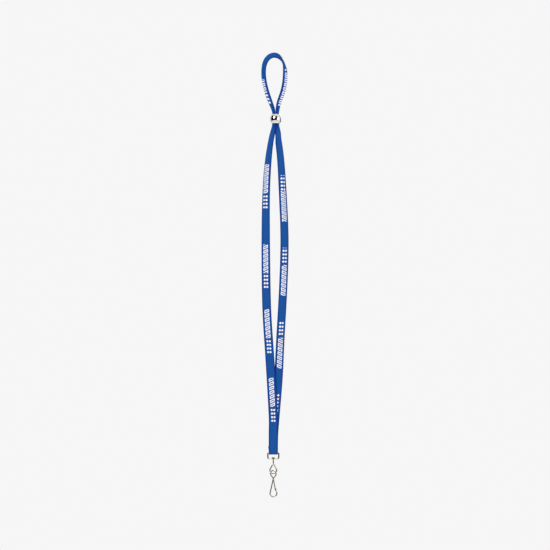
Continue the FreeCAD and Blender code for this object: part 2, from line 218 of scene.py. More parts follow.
class LanyardColours(bpy.types.PropertyGroup):
    strap: bpy.props.FloatVectorProperty(
        name="Strap",
        description="Dyed polyester, as the middle of the strap shows it",
        default=linear("#004B95"),
        size=4,
        subtype="COLOR",
    )
    # Painted shade: a darker blue along both edges of the strap, standing in for the shade along them.
    painted_edge_shade: bpy.props.FloatVectorProperty(
        name="Selvage",
        description="The denser weave along both edges of the strap",
        default=linear("#002C80"),
        size=4,
        subtype="COLOR",
    )
    print_ink: bpy.props.FloatVectorProperty(
        name="Print",
        description="Screen-printed ink",
        default=linear("#F3F1F8"),
        size=4,
        subtype="COLOR",
    )
    nickel: bpy.props.FloatVectorProperty(
        name="Nickel",
        description="Plated steel wire of the hook, swivel and bracket",
        default=linear("#B9AFA5"),
        size=4,
        subtype="COLOR",
    )
    chrome: bpy.props.FloatVectorProperty(
        name="Chrome",
        description="Bright plating of the bead",
        default=linear("#ECE8E4"),
        size=4,
        subtype="COLOR",
    )
    thread: bpy.props.FloatVectorProperty(
        name="Thread",
        description="Sewing thread of the strap's end",
        default=linear("#1E4A93"),
        size=4,
        subtype="COLOR",
    )


# ---------------------------------------------------------------- materials


def add_node(tree, kind, inputs=None, **settings):
    """A node with its settings, and its inputs set or linked."""
    node = tree.nodes.new(kind)
    for name, value in settings.items():
        setattr(node, name, value)
    for key, value in (inputs or {}).items():
        if isinstance(value, bpy.types.NodeSocket):
            tree.links.new(value, node.inputs[key])
        else:
            node.inputs[key].default_value = value
    return node


def new_material(name):
    """An empty material with its node tree, or the one that is there already."""
    material = bpy.data.materials.new(name)
    material.use_nodes = True
    material.node_tree.nodes.clear()
    return material


def maths(tree, operation, first, second=0.0, third=0.0):
    """The result of one sum."""
    return add_node(tree, "ShaderNodeMath", {0: first, 1: second, 2: third}, operation=operation).outputs[0]


def mix_colour(tree, share, first, second):
    """Two colours mixed by a share."""
    node = add_node(tree, "ShaderNodeMix", {0: share, 6: first, 7: second}, data_type="RGBA")
    return node.outputs[2]


def woven_polyester(sizes, colours):
    """Dyed polyester webbing, woven with fine ribs along it and printed with white ink.
    To the eye it is matt with a faint sheen, with a darker band of painted shade along each edge."""
    material = new_material("woven_polyester_printed")
    tree = material.node_tree
    millimetres = 1 / MM
    uv = add_node(tree, "ShaderNodeUVMap", uv_map="strap")
    place = add_node(tree, "ShaderNodeSeparateXYZ", {0: uv.outputs[0]})
    across = place.outputs[0]
    along = place.outputs[1]
    from_middle = maths(tree, "ABSOLUTE", across)
    objects = add_node(tree, "ShaderNodeTexCoord")
    height = add_node(tree, "ShaderNodeSeparateXYZ", {0: objects.outputs["Object"]}).outputs[2]

    # Painted shade: a darker band over the last millimetre or so on each side, which both faces share
    half = sizes.strap_width / 2 / MM
    painted_edge_shade = add_node(
        tree,
        "ShaderNodeMapRange",
        {"Value": from_middle, "From Min": half - 1.45, "From Max": half - 0.75},
        interpolation_type="SMOOTHSTEP",
    ).outputs[0]

    # Warp yarns, 0.35 mm apart, drawn out to long streaks
    streak_place = add_node(tree, "ShaderNodeCombineXYZ", {0: maths(tree, "MULTIPLY", across, 2.8), 1: maths(tree, "MULTIPLY", along, 0.09)})
    streaks = add_node(tree, "ShaderNodeTexNoise", {"Vector": streak_place.outputs[0], "Scale": 1.0, "Detail": 3.0, "Roughness": 0.6})
    streak_shade = add_node(
        tree,
        "ShaderNodeMapRange",
        {"Value": streaks.outputs[0], "From Min": 0.3, "From Max": 0.7, "To Min": 0.86, "To Max": 1.12},
    ).outputs[0]

    # Ribs of the weave: warp lines crossed by weft steps, twill-fashion
    rib = sizes.rib_spacing / MM
    warp = maths(tree, "SINE", maths(tree, "MULTIPLY", across, 2 * math.pi / rib))
    weft_turn = maths(tree, "MULTIPLY", maths(tree, "ADD", along, maths(tree, "MULTIPLY", across, 0.55)), 2 * math.pi / rib)
    weft = maths(tree, "SINE", weft_turn)
    weave = maths(tree, "ADD", maths(tree, "MULTIPLY", warp, 0.5), maths(tree, "MULTIPLY", weft, 0.5))
    weave_shade = maths(tree, "MULTIPLY_ADD", weave, 0.06, 1.0)

    # Print: slanted bars and rows of dots, inside the blocks that the mesh marks
    print_half = sizes.print_width / 2 / MM
    in_print = maths(tree, "LESS_THAN", from_middle, print_half)
    bars_near = add_node(tree, "ShaderNodeAttribute", attribute_name="bars").outputs["Fac"]
    dots_near = add_node(tree, "ShaderNodeAttribute", attribute_name="dots").outputs["Fac"]
    height_mm = maths(tree, "MULTIPLY", height, millimetres)
    slant = maths(tree, "MULTIPLY_ADD", across, 0.45, height_mm)
    bar_phase = maths(tree, "ABSOLUTE", maths(tree, "SUBTRACT", maths(tree, "FRACT", maths(tree, "DIVIDE", slant, 4.6)), 0.5))
    bar = maths(tree, "LESS_THAN", bar_phase, 0.37)
    slot_ends = maths(tree, "LESS_THAN", from_middle, print_half - 0.9)
    slot = maths(tree, "MULTIPLY", maths(tree, "LESS_THAN", bar_phase, 0.12), slot_ends)
    bar = maths(tree, "MULTIPLY", bar, maths(tree, "SUBTRACT", 1.0, slot))
    bars = maths(tree, "MULTIPLY", maths(tree, "MULTIPLY", bar, in_print), maths(tree, "LESS_THAN", bars_near, 1.0))

    dot_across = maths(tree, "SUBTRACT", from_middle, 1.35)
    dot_phase = maths(tree, "SUBTRACT", maths(tree, "FRACT", maths(tree, "DIVIDE", height_mm, 3.9)), 0.5)
    dot_along = maths(tree, "MULTIPLY", dot_phase, 3.9)
    dot_far = maths(tree, "SQRT", maths(tree, "ADD", maths(tree, "POWER", maths(tree, "ABSOLUTE", dot_across), 2.0), maths(tree, "POWER", maths(tree, "ABSOLUTE", dot_along), 2.0)))
    dots = maths(tree, "MULTIPLY", maths(tree, "LESS_THAN", dot_far, 1.1), maths(tree, "LESS_THAN", dots_near, 1.0))

    face = add_node(tree, "ShaderNodeAttribute", attribute_name="printed_face").outputs["Fac"]
    ink = maths(tree, "MULTIPLY", maths(tree, "MAXIMUM", bars, dots), maths(tree, "GREATER_THAN", face, 0.5))

    # The dyed colour, darkened along each edge by painted shade
    dyed = mix_colour(tree, painted_edge_shade, tuple(colours.strap), tuple(colours.painted_edge_shade))
    shade = maths(tree, "MULTIPLY", streak_shade, weave_shade)
    toned = add_node(tree, "ShaderNodeVectorMath", {0: dyed, "Scale": shade}, operation="SCALE").outputs[0]
    coloured = mix_colour(tree, maths(tree, "MULTIPLY", ink, 0.97), toned, tuple(colours.print_ink))
    roughness = maths(tree, "MULTIPLY_ADD", ink, -0.25, 0.78)
    relief = maths(tree, "ADD", maths(tree, "MULTIPLY", weave, 0.6), maths(tree, "MULTIPLY", ink, 0.5))
    bump = add_node(tree, "ShaderNodeBump", {"Strength": 0.35, "Distance": 0.00012, "Height": relief})
    shader = add_node(
        tree,
        "ShaderNodeBsdfPrincipled",
        {
            "Base Color": coloured,
            "Roughness": roughness,
            "IOR": 1.54,
            "Specular IOR Level": 0.2,
            "Sheen Weight": 0.04,
            "Sheen Roughness": 0.5,
            "Normal": bump.outputs[0],
        },
    )
    add_node(tree, "ShaderNodeOutputMaterial", {"Surface": shader.outputs[0]})
    return material


def plated_metal(name, colour, roughness, wear):
    """Plated steel: a hard bright skin, with the fine scuffs of use in its gloss.
    To the eye it is a mirror that is slightly clouded where it has rubbed."""
    material = new_material(name)
    tree = material.node_tree
    objects = add_node(tree, "ShaderNodeTexCoord")
    # Scuffs about 0.6 mm across
    scuffs = add_node(tree, "ShaderNodeTexNoise", {"Vector": objects.outputs["Object"], "Scale": 1600.0, "Detail": 4.0, "Roughness": 0.6})
    cloud = add_node(
        tree,
        "ShaderNodeMapRange",
        {"Value": scuffs.outputs[0], "From Min": 0.35, "From Max": 0.75, "To Min": roughness, "To Max": roughness + wear},
    )
    tint = add_node(
        tree,
        "ShaderNodeMapRange",
        {"Value": scuffs.outputs[0], "From Min": 0.3, "From Max": 0.8, "To Min": 1.0, "To Max": 0.9},
    )
    shaded = add_node(tree, "ShaderNodeVectorMath", {0: tuple(colour)[:3], "Scale": tint.outputs[0]}, operation="SCALE")
    # Drawing lines and plating ripple, under 0.01 mm deep
    ripple = add_node(tree, "ShaderNodeTexNoise", {"Vector": objects.outputs["Object"], "Scale": 500.0, "Detail": 2.0})
    bump = add_node(tree, "ShaderNodeBump", {"Strength": 0.12, "Distance": 0.00004, "Height": ripple.outputs[0]})
    shader = add_node(
        tree,
        "ShaderNodeBsdfPrincipled",
        {"Base Color": shaded.outputs[0], "Metallic": 1.0, "Roughness": cloud.outputs[0], "Normal": bump.outputs[0]},
    )
    add_node(tree, "ShaderNodeOutputMaterial", {"Surface": shader.outputs[0]})
    return material


def sewing_thread(colour):
    """Twisted polyester thread: matt, with the twist showing as slanted light and dark."""
    material = new_material("polyester_thread")
    tree = material.node_tree
    objects = add_node(tree, "ShaderNodeTexCoord")
    twist = add_node(
        tree,
        "ShaderNodeTexWave",
        {"Vector": objects.outputs["Object"], "Scale": 900.0, "Distortion": 0.6, "Detail": 1.0},
        wave_type="BANDS",
        bands_direction="DIAGONAL",
    )
    shade = add_node(
        tree, "ShaderNodeMapRange", {"Value": twist.outputs["Fac"], "To Min": 0.75, "To Max": 1.15}
    )
    toned = add_node(tree, "ShaderNodeVectorMath", {0: tuple(colour)[:3], "Scale": shade.outputs[0]}, operation="SCALE")
    bump = add_node(tree, "ShaderNodeBump", {"Strength": 0.5, "Distance": 0.00005, "Height": twist.outputs["Fac"]})
    shader = add_node(
        tree,
        "ShaderNodeBsdfPrincipled",
        {"Base Color": toned.outputs[0], "Roughness": 0.65, "Sheen Weight": 0.1, "Normal": bump.outputs[0]},
    )
    add_node(tree, "ShaderNodeOutputMaterial", {"Surface": shader.outputs[0]})
    return material


# ---------------------------------------------------------------- strap


def spline_points(coordinates):
    """Points along the smooth line that has these control points."""
    curve = bpy.data.curves.new("line", "CURVE")
    curve.dimensions = "3D"
    curve.resolution_u = LINE_STEPS
    spline = curve.splines.new("NURBS")
    spline.points.add(len(coordinates) - 1)
    for point, place in zip(spline.points, coordinates):
        point.co = (*place, 1.0)
    spline.order_u = 3
    spline.use_endpoint_u = True
    holder = bpy.data.objects.new("line", curve)
    mesh = bpy.data.meshes.new_from_object(holder)
    points = [vertex.co.copy() for vertex in mesh.vertices]
    bpy.data.objects.remove(holder)
    bpy.data.meshes.remove(mesh)
    bpy.data.curves.remove(curve)
    return points


def section_line(width, fold, pleat):
    """The strap's middle layer, seen end on: (outward, forward, angle) at even steps of its width."""
    folded = fold / math.pi
    zone = width + (FOLD_ZONE - width) * folded**FOLD_SPREAD
    step = width / ACROSS_STEPS

    def angle_at(distance):
        share = math.sin(math.pi / 2 * max(-1.0, min(1.0, 2 * distance / zone)))
        past = max(0.0, abs(distance) - zone / 2)
        return -fold / 2 * (share + folded) + pleat * math.sin(2 * math.pi * past / PLEAT)

    outward = 0.0
    forward = 0.0
    line = [(outward, forward, angle_at(-width / 2))]
    for index in range(ACROSS_STEPS):
        middle = angle_at(-width / 2 + (index + 0.5) * step)
        outward += step * math.cos(middle)
        forward += step * math.sin(middle)
        line.append((outward, forward, angle_at(-width / 2 + (index + 1) * step)))
    return line


def section_outline(line, thickness, width):
    """Points round the strap's cross-section: (outward, forward, across, on the printed face)."""
    count = len(line) - 1
    outline = []
    for side in (1, -1):
        order = range(count + 1) if side > 0 else range(count, -1, -1)
        for index in order:
            outward, forward, angle = line[index]
            share = index / count
            from_edge = min(share, 1 - share) * width
            thin = 1 - SELVAGE_THINNING * max(0.0, 1 - from_edge / (thickness / 2)) ** 2
            reach = side * thickness / 2 * thin
            across = (share - 0.5) * width
            outline.append(
                (outward - math.sin(angle) * reach, forward + math.cos(angle) * reach, across, side > 0)
            )
        end, forward, angle = line[count if side > 0 else 0]
        reach = thickness / 2 * (1 - SELVAGE_THINNING)
        for step in range(1, EDGE_STEPS + 1):
            turn = math.pi * step / (EDGE_STEPS + 1)
            out = side * reach * math.sin(turn)
            up = side * reach * math.cos(turn)
            outline.append(
                (
                    end + math.cos(angle) * out - math.sin(angle) * up,
                    forward + math.sin(angle) * out + math.cos(angle) * up,
                    side * width / 2,
                    False,
                )
            )
    return outline


def fitted_section(visible, fold, width, thickness):
    """The cross-section, folded further and then pleated until it is as narrow as it shows there."""
    flatness = max(0.0, 1 - fold / (math.pi / 2))
    allowed = visible * (1 + FLAT_SLACK * flatness)
    gathered = 0.0
    low = 0.0
    high = 2.0
    for attempt in range(FIT_STEPS):
        fold_now = fold + (math.pi - fold) * min(1.0, gathered)
        pleat = MOST_PLEAT * max(0.0, gathered - 1)
        line = section_line(width, fold_now, pleat)
        spread = max(p[0] for p in line) - min(p[0] for p in line) + thickness
        if attempt == 0 and spread <= allowed:
            break
        if spread > allowed:
            low = gathered
        else:
            high = gathered
        gathered = (low + high) / 2
    outline = section_outline(line, thickness, width)
    outs = [p[0] for p in outline]
    forwards = [p[1] for p in outline]
    middle_out = (max(outs) + min(outs)) / 2
    middle_forward = (max(forwards) + min(forwards)) / 2
    stretch = max(0.9, min(1.1, visible / (max(outs) - min(outs))))
    return [((p[0] - middle_out) * stretch, p[1] - middle_forward, p[2], p[3]) for p in outline]


def block_share(height, blocks):
    """How near this height is to a block of print: under 1 inside it."""
    shares = [abs(height - middle) / half for middle, half in blocks]
    return min([NO_PRINT, *shares])


def strap_piece(name, route, outer, level, blocks_at, sizes, material):
    """A length of the strap along its route, with its place across and along kept as its UV map."""
    path = spline_points([point[:3] for point in route])
    shape = spline_points([(point[3], math.radians(point[4]), math.radians(point[5])) for point in route])
    last = len(path) - 1
    vertices = []
    uvs = []
    bars = []
    dots = []
    printed = []
    travelled = 0.0
    for index, (place, (visible, turn, fold)) in enumerate(zip(path, shape)):
        direction = (path[min(last, index + 1)] - path[max(0, index - 1)]).normalized()
        side = level(direction)
        side = Quaternion(direction, turn) @ side
        front = direction.cross(side).normalized()
        if index:
            travelled += (place - path[index - 1]).length
        bar_blocks, dot_blocks = blocks_at(index / last)
        bar_share = block_share(place.z, bar_blocks)
        dot_share = block_share(place.z, dot_blocks)
        section = fitted_section(visible, fold, sizes.strap_width, sizes.strap_thickness)
        for outward, forward, across, on_face in section:
            vertices.append(place + side * (outward * outer) + front * forward)
            uvs.append((across / MM, travelled / MM))
            bars.append(bar_share)
            dots.append(dot_share)
            printed.append(1.0 if on_face else 0.0)
    around = len(section)
    faces = []
    for ring in range(last):
        for step in range(around):
            after = (step + 1) % around
            faces.append(
                (
                    ring * around + step,
                    ring * around + after,
                    (ring + 1) * around + after,
                    (ring + 1) * around + step,
                )
            )
    half = around // 2
    for base in (0, last * around):
        for step in range(half - 1):
            corners = (base + step, base + step + 1, base + around - 2 - step, base + around - 1 - step)
            faces.append(corners)
    mesh = bpy.data.meshes.new(name)
    mesh.from_pydata([tuple(vertex) for vertex in vertices], [], faces)
    layer = mesh.uv_layers.new(name="strap")
    for loop in mesh.loops:
        layer.data[loop.index].uv = uvs[loop.vertex_index]
    for title, values in (("bars", bars), ("dots", dots), ("printed_face", printed)):
        attribute = mesh.attributes.new(title, "FLOAT", "POINT")
        attribute.data.foreach_set("value", values)
    mesh.materials.append(material)
    piece = bpy.data.objects.new(name, mesh)
    bpy.context.scene.collection.objects.link(piece)
    tidy_surface(piece)
    return piece, path


def tidy_surface(piece, smooth_angle=40):
    """Faces turned outwards and shaded smooth, except over sharp corners."""
    bpy.ops.object.select_all(action="DESELECT")
    piece.select_set(True)
    bpy.context.view_layer.objects.active = piece
    bpy.ops.object.mode_set(mode="EDIT")
    bpy.ops.mesh.select_all(action="SELECT")
    bpy.ops.mesh.normals_make_consistent(inside=False)
    bpy.ops.object.mode_set(mode="OBJECT")
    bpy.ops.object.shade_smooth_by_angle(angle=math.radians(smooth_angle))


def loop_level(direction):
    return direction.cross(DEPTH).normalized()


def strand_level(direction):
    return (SIDEWAYS - direction * SIDEWAYS.dot(direction)).normalized()


class LANYARD_OT_strap(bpy.types.Operator):
    """Weave the strap: the top loop, the two strands and the end round the bracket"""

    bl_idname = "lanyard.strap"
    bl_label = "Strap"

    def execute(self, context):
        sizes = context.scene.lanyard_sizes
        material = woven_polyester(sizes, context.scene.lanyard_colours)

        def loop_blocks(share):
            if share < 0.5:
                return LOOP_LEFT_BARS, LOOP_LEFT_DOTS
            return LOOP_RIGHT_BARS, LOOP_RIGHT_DOTS

        loop, path = strap_piece("strap_top_loop", LOOP_ROUTE, 1, loop_level, loop_blocks, sizes, material)
        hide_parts("neck_loop")
        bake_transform(loop)

        left, path = strap_piece(
            "strap_left_strand",
            LEFT_ROUTE,
            -1,
            strand_level,
            lambda share: (LEFT_BARS, LEFT_DOTS),
            sizes,
            material,
        )
        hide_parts("left_strand", "hook_fold")
        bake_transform(left)

        right, path = strap_piece(
            "strap_right_strand",
            RIGHT_ROUTE,
            1,
            strand_level,
            lambda share: (RIGHT_BARS, RIGHT_DOTS),
            sizes,
            material,
        )
        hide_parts("right_strand")
        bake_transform(right)
        return {"FINISHED"}


# ---------------------------------------------------------------- hardware

HARDWARE_X = JOINTS["bracket_tilt"]["pos_m"][0]
BAR_Z = JOINTS["bracket_tilt"]["pos_m"][2]
FOOT_Z = JOINTS["swivel_spin"]["pos_m"][2]
EYE_Z = JOINTS["hook_swing"]["pos_m"][2]

WIRE_SIDES = 24
BEND_STEP = 9.0           # degrees between two rings of a bend
END_STEPS = 4             # rings of a rounded end
NEAR = 1e-7

# Bracket
BRACKET_WIRE = 0.0014
BRACKET_CORNER = 0.0011
BRACKET_ARM = 0.00595     # from the middle to the centre of an arm, at the bar
FOOT_ARM = 0.0058
FOOT_THICKNESS = 0.0012
FOOT_SPREAD = 2.5         # how much wider than the wire the flattened foot is
FOOT_FLATTENING = 0.25
ARM_SQUARENESS = 0.85

# Swivel eye and hook
WIRE = 0.00125
HEAD_SEAT_GAP = 0.00003
HEAD_PROFILE = [          # (radius, below the top)
    (0.00040, 0.00000),
    (0.00085, 0.00008),
    (0.00125, 0.00024),
    (0.00155, 0.00047),
    (0.00170, 0.00074),
    (0.00174, 0.00100),
    (0.00166, 0.00116),
    (0.00150, 0.00120),
]
HEAD_HEIGHT = 0.0012
EYE_RADIUS = 0.0036
EYE_POINT = 0.0073
EYE_END_GAP = 0.0001
ARC_SHARE = 0.98
HOOK_EYE_RADIUS = 0.0034
HOOK_EYE_TURN = 30.0
HOOK_EYE_DROP = 0.0037
NECK_DROP = 0.0052
NECK_BEND = 0.0050
NECK_GAP = 0.00005
BOW_RADIUS = 0.00365
BOW_DROP = 0.0161
GATE_OUT = 0.00245
GATE_RISE = 0.0028
GATE_HINGE_DROP = 0.0027
GATE_SEAM = 0.0006        # from the crossing down to where the gate's piece starts
GATE_BEND = 0.0019        # half the stretch that flexes
GATE_END_GAP = 0.0003
CATCH_AWAY = 0.00088      # from the gate's axis to the middle of the catch
CATCH_INSIDE = 0.00071
CATCH_OUTSIDE = 0.00105
CATCH_WRAP = 80.0         # degrees that each side of the catch wraps round the gate
CATCH_TOP = 0.0028        # above the gate's end
CATCH_BOTTOM = 0.0004     # below it, where the wire starts to flatten
CATCH_ROOT = 0.0015       # below it, where the wire is round again
CATCH_LIP = 0.0007        # length of the catch's rounded end
CATCH_RINGS = 24

# Bead
BEAD_BORE = 0.0038
BEAD_MOUTH = 0.0042
BEAD_LIP = 0.0004
BEAD_SIDES = 96


class Wire:
    """A round wire that is drawn ring by ring in edit mode."""

    def __init__(self, name, place, direction, radius, sides=WIRE_SIDES):
        bpy.ops.object.select_all(action="DESELECT")
        turn = direction.to_track_quat("Z", "Y").to_euler()
        bpy.ops.mesh.primitive_circle_add(vertices=sides, radius=radius, location=place, rotation=turn)
        self.piece = bpy.context.object
        self.piece.name = name
        self.piece.data.name = name
        bpy.ops.object.transform_apply(location=True, rotation=True, scale=True)
        bpy.ops.object.mode_set(mode="EDIT")
        bpy.ops.mesh.select_mode(type="VERT")
        bpy.ops.mesh.select_all(action="SELECT")
        self.place = Vector(place)
        self.radius = radius

    def push(self, offset, radius=None):
        """Draws the ring on by an offset, to a new radius."""
        bpy.ops.mesh.extrude_region_move(
            TRANSFORM_OT_translate={"value": offset, "orient_type": "GLOBAL"}
        )
        self.place += offset
        if radius is not None:
            share = radius / self.radius
            bpy.ops.transform.resize(value=(share, share, share), center_override=self.place)
            self.radius = radius

    def run_to(self, place, steps=1):
        """A straight run."""
        offset = (place - self.place) / steps
        if offset.length > NEAR:
            for step in range(steps):
                self.push(offset)

    def follow(self, corners, radii):
        """Straight runs joined by tangent bends, to the last corner."""
        for before, here, after, radius in zip(corners, corners[1:], corners[2:], radii):
            back = (before - here).normalized()
            ahead = (after - here).normalized()
            half_turn = (math.pi - back.angle(ahead)) / 2
            reach = radius * math.tan(half_turn)
            self.run_to(here + back * reach)
            centre = here + (back + ahead).normalized() * (radius / math.cos(half_turn))
            steps = max(2, math.ceil(math.degrees(2 * half_turn) / BEND_STEP))
            bpy.ops.mesh.spin(
                steps=steps, angle=2 * half_turn, center=centre, axis=back.cross(ahead).normalized()
            )
            self.place = here + ahead * reach
        self.run_to(corners[-1])

    def round_off(self, direction):
        """A domed end."""
        full = self.radius
        for step in range(1, END_STEPS + 1):
            turn = math.pi / 2 * step / (END_STEPS + 0.4)
            before = math.pi / 2 * (step - 1) / (END_STEPS + 0.4)
            self.push(direction * full * (math.sin(turn) - math.sin(before)), full * math.cos(turn))

    def finish(self, material, smooth_angle=50):
        """Closes the open ends and leaves edit mode."""
        bpy.ops.mesh.select_all(action="SELECT")
        bpy.ops.mesh.remove_doubles(threshold=1e-6)
        bpy.ops.mesh.select_all(action="SELECT")
        bpy.ops.mesh.fill_holes(sides=0)
        bpy.ops.object.mode_set(mode="OBJECT")
        self.piece.data.materials.append(material)
        tidy_surface(self.piece, smooth_angle)
        return self.piece


def domed_start(name, place, direction, radius):
    """A wire that starts with a domed end at a place."""
    angles = [math.pi / 2 * (step + 0.4) / (END_STEPS + 0.4) for step in range(END_STEPS + 1)]
    first = radius * (1 - math.cos(angles[0]))
    wire = Wire(name, place + direction * first, direction, radius * math.sin(angles[0]))
    for before, turn in zip(angles, angles[1:]):
        wire.push(direction * radius * (math.cos(before) - math.cos(turn)), radius * math.sin(turn))
    return wire


def arc_corners(centre, outward, radius, start, end, count):
    """Corners of the runs that touch an arc, in the plane of outward and up."""
    half_step = math.radians(end - start) / (2 * count)
    reach = radius / math.cos(half_step)
    corners = []
    for index in range(count):
        angle = math.radians(start) + half_step * (2 * index + 1)
        corners.append(centre + outward * (reach * math.cos(angle)) + UP * (reach * math.sin(angle)))
    return corners


def settle(piece, body, slot, *nodes):
    """The piece moves with its body and stands for its nodes, which are hidden."""
    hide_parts(*nodes)
    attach(piece, body)


class LANYARD_OT_bead(bpy.types.Operator):
    """Turn the bead: a round-sided barrel, its bore rounded into each mouth"""

    bl_idname = "lanyard.bead"
    bl_label = "Bead"

    def execute(self, context):
        chrome = plated_metal("bright_chrome_plate", context.scene.lanyard_colours.chrome, 0.03, 0.05)
        half = (BEAD_HIGH.z - BEAD_LOW.z) / 2
        belly = (BEAD_HIGH.x - BEAD_LOW.x) / 2
        bulge = belly - BEAD_MOUTH
        round_radius = (half**2 + bulge**2) / (2 * bulge)
        reach = math.asin(half / round_radius)
        profile = []
        for step in range(25):
            turn = reach * (step / 12 - 1)
            profile.append((belly - round_radius * (1 - math.cos(turn)), round_radius * math.sin(turn)))
        for step in range(1, 9):
            turn = math.pi / 2 * step / 8
            profile.append((BEAD_BORE + BEAD_LIP * (1 - math.sin(turn)), half - BEAD_LIP * (1 - math.cos(turn))))
        for step in range(8, 0, -1):
            turn = math.pi / 2 * step / 8
            profile.append((BEAD_BORE + BEAD_LIP * (1 - math.sin(turn)), BEAD_LIP * (1 - math.cos(turn)) - half))
        profile.append(profile[0])
        start = BEAD_CENTRE + UP * profile[0][1]
        barrel = Wire("bead_barrel", start, UP, profile[0][0], BEAD_SIDES)
        for before, here in zip(profile, profile[1:]):
            barrel.push(UP * (here[1] - before[1]), here[0])
        piece = barrel.finish(chrome, 35)
        settle(piece, "bead", "bead_chrome", "bead")
        return {"FINISHED"}


class LANYARD_OT_bracket(bpy.types.Operator):
    """Bend the bracket: a closed wire frame, flattened at its foot"""

    bl_idname = "lanyard.bracket"
    bl_label = "Bracket"

    def execute(self, context):
        nickel = plated_metal("bright_nickel_plate", context.scene.lanyard_colours.nickel, 0.05, 0.10)
        foot = Vector((HARDWARE_X, 0, FOOT_Z))
        corners = [
            foot,
            Vector((HARDWARE_X - FOOT_ARM, 0, FOOT_Z)),
            Vector((HARDWARE_X - BRACKET_ARM, 0, BAR_Z)),
            Vector((HARDWARE_X + BRACKET_ARM, 0, BAR_Z)),
            Vector((HARDWARE_X + FOOT_ARM, 0, FOOT_Z)),
            foot,
        ]
        frame_wire = Wire("bracket_frame", foot, -SIDEWAYS, BRACKET_WIRE / 2)
        straight = foot - SIDEWAYS * (FOOT_ARM - BRACKET_CORNER * 1.3)
        frame_wire.run_to(straight, 16)
        frame_wire.follow(corners[:-1] + [foot + SIDEWAYS * (FOOT_ARM - BRACKET_CORNER * 1.3)], [BRACKET_CORNER] * 4)
        frame_wire.run_to(foot, 16)
        piece = frame_wire.finish(nickel)
        for vertex in piece.data.vertices:
            away = abs(vertex.co.x - HARDWARE_X) / (FOOT_ARM - BRACKET_CORNER)
            if vertex.co.z < FOOT_Z + BRACKET_WIRE and away < 1:
                share = (1 - away * away) ** 0.8
                vertex.co.y *= 1 + (FOOT_SPREAD - 1) * share
                vertex.co.z = FOOT_Z + (vertex.co.z - FOOT_Z) * (1 - FOOT_FLATTENING * share)
        self.square_arms(piece)
        settle(piece, "bracket", "nickel_steel", "bracket")
        return {"FINISHED"}


    def square_arms(self, piece):
        """The arms are rolled nearly square, so that each has a flat front and back."""
        radius = BRACKET_WIRE / 2
        for vertex in piece.data.vertices:
            down = (BAR_Z - vertex.co.z) / (BAR_Z - FOOT_Z)
            if not 0 < down < 1:
                continue
            towards = 1 if vertex.co.x > HARDWARE_X else -1
            arm_x = HARDWARE_X + towards * (BRACKET_ARM + (FOOT_ARM - BRACKET_ARM) * down)
            aside = vertex.co.x - arm_x
            longest = max(abs(aside), abs(vertex.co.y))
            if longest > radius * 1.05 or longest < NEAR:
                continue
            squared = 1 + ARM_SQUARENESS * (radius / longest - 1)
            vertex.co.x = arm_x + aside * squared
            vertex.co.y *= squared


class LANYARD_OT_swivel(bpy.types.Operator):
    """Bend the swivel: a headed wire through the bracket's foot, with a drop-shaped eye"""

    bl_idname = "lanyard.swivel"
    bl_label = "Swivel"

    def execute(self, context):
        nickel = plated_metal("satin_nickel_swivel", context.scene.lanyard_colours.nickel, 0.20, 0.15)
        top = Vector((HARDWARE_X, 0, FOOT_Z + FOOT_THICKNESS / 2 + HEAD_SEAT_GAP + HEAD_HEIGHT))
        point = Vector((HARDWARE_X, 0, EYE_Z + EYE_POINT))
        lean = math.asin(EYE_RADIUS / EYE_POINT)
        eye = Vector((HARDWARE_X, 0, EYE_Z))
        round_corners = arc_corners(eye, SIDEWAYS, EYE_RADIUS, math.degrees(lean), -180 - math.degrees(lean), 4)
        butt = (WIRE + EYE_END_GAP) / math.sin(2 * lean)
        left_end = point - SIDEWAYS * (butt * math.sin(lean)) - UP * (butt * math.cos(lean))
        wire = Wire("swivel_eye_wire", top, -UP, HEAD_PROFILE[0][0])
        for before, here in zip(HEAD_PROFILE, HEAD_PROFILE[1:]):
            wire.push(-UP * (here[1] - before[1]), here[0])
        wire.push(Vector((0, 0, 0)), WIRE / 2)
        corners = [top, point, *round_corners, left_end]
        wire.follow(corners, [WIRE] + [ARC_SHARE * EYE_RADIUS] * len(round_corners))
        piece = wire.finish(nickel)
        settle(piece, "swivel", "nickel_steel", "swivel_eye")
        return {"FINISHED"}


def crossing(towards):
    """Where a wire of the hook passes its neck, in front (-1) or behind (+1)."""
    neck_z = EYE_Z - HOOK_EYE_DROP - NECK_DROP
    return Vector((HARDWARE_X, towards * (WIRE + NECK_GAP) / 2, neck_z))


def gate_end():
    return Vector((HARDWARE_X + GATE_OUT, 0, crossing(1).z - BOW_DROP + GATE_RISE))


def gate_line():
    """The direction that the gate runs down, from the neck to its end."""
    return (gate_end() - crossing(1)).normalized()


def gate_aside():
    """Square to the gate, away from the bow's inside."""
    aside = gate_line().cross(DEPTH).normalized()
    return aside if aside.x > 0 else -aside


